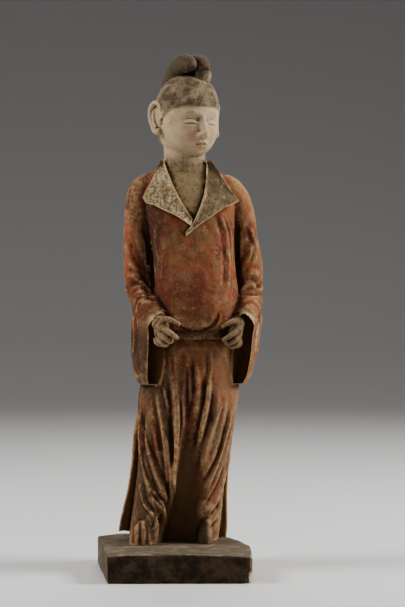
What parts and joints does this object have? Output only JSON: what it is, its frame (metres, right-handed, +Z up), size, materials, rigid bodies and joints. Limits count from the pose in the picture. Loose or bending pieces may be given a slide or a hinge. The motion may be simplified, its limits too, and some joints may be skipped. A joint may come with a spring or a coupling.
{
  "type": "painted pottery female figurine",
  "caption": "Standing painted pottery woman in a long belted robe with open lapels and hanging sleeves, hair in a folded knot, set on a rough clay slab",
  "frame": {"origin": "centre of the slab's underside, on the surface that it stands on", "axes": "+Z up, the slab's front face and the figure's front towards -Y, +X to the right as seen from the front"},
  "size_m": [0.1618, 0.14, 0.4975],
  "materials": {
    "painted_clay": "matte, worn pigment on fired clay",
    "bare_clay": "matte, earth-stained fired clay"
  },
  "bodies": {
    "root": {"figure": "painted_clay", "base_slab": "bare_clay"}
  },
  "joints": []
}
